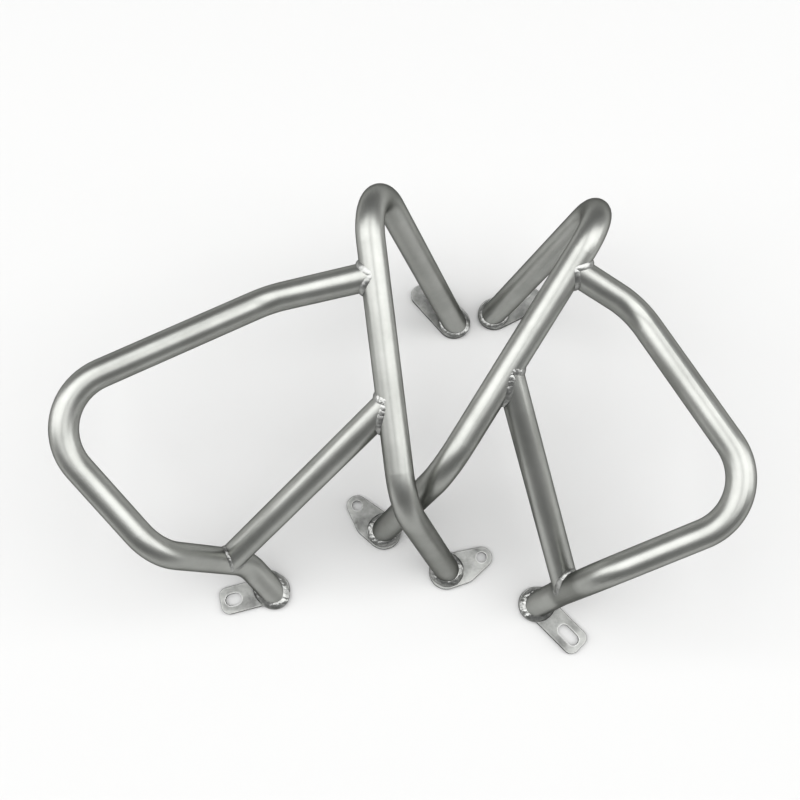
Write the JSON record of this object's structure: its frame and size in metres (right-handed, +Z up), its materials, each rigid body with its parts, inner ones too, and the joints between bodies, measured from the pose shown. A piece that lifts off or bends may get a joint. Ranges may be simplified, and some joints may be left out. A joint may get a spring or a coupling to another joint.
{
  "type": "motorcycle crash bars",
  "caption": "Matched left and right engine guard bars of bent round tube, with coped and welded branches, flat bolt-on mount plates and a satin silver coat.",
  "frame": {"origin": "middle of the pair's footprint, on the plane of the mount plates' undersides", "axes": "+X from the left bar to the right bar, +Y from the foot plates toward the hooks, +Z up from the mount plane"},
  "size_m": [0.5908, 0.4014, 0.2338],
  "materials": {
    "tube_coat": "satin silver metallic coat on steel tube",
    "plate_coat": "satin silver metallic coat on laser-cut steel plate",
    "weld_coat": "satin silver metallic coat over rippled weld beads"
  },
  "bodies": {
    "root": {"left_main_tube": "tube_coat", "left_loop_tube": "tube_coat", "left_brace_tube": "tube_coat", "left_top_plate": "plate_coat", "left_foot_plate": "plate_coat", "left_rear_plate": "plate_coat", "left_loop_weld": "weld_coat", "left_brace_upper_weld": "weld_coat", "left_brace_lower_weld": "weld_coat", "left_top_plate_weld": "weld_coat", "left_foot_plate_weld": "weld_coat", "left_rear_plate_weld": "weld_coat", "right_main_tube": "tube_coat", "right_loop_tube": "tube_coat", "right_brace_tube": "tube_coat", "right_top_plate": "plate_coat", "right_foot_plate": "plate_coat", "right_rear_plate": "plate_coat", "right_loop_weld": "weld_coat", "right_brace_upper_weld": "weld_coat", "right_brace_lower_weld": "weld_coat", "right_top_plate_weld": "weld_coat", "right_foot_plate_weld": "weld_coat", "right_rear_plate_weld": "weld_coat"}
  },
  "joints": []
}
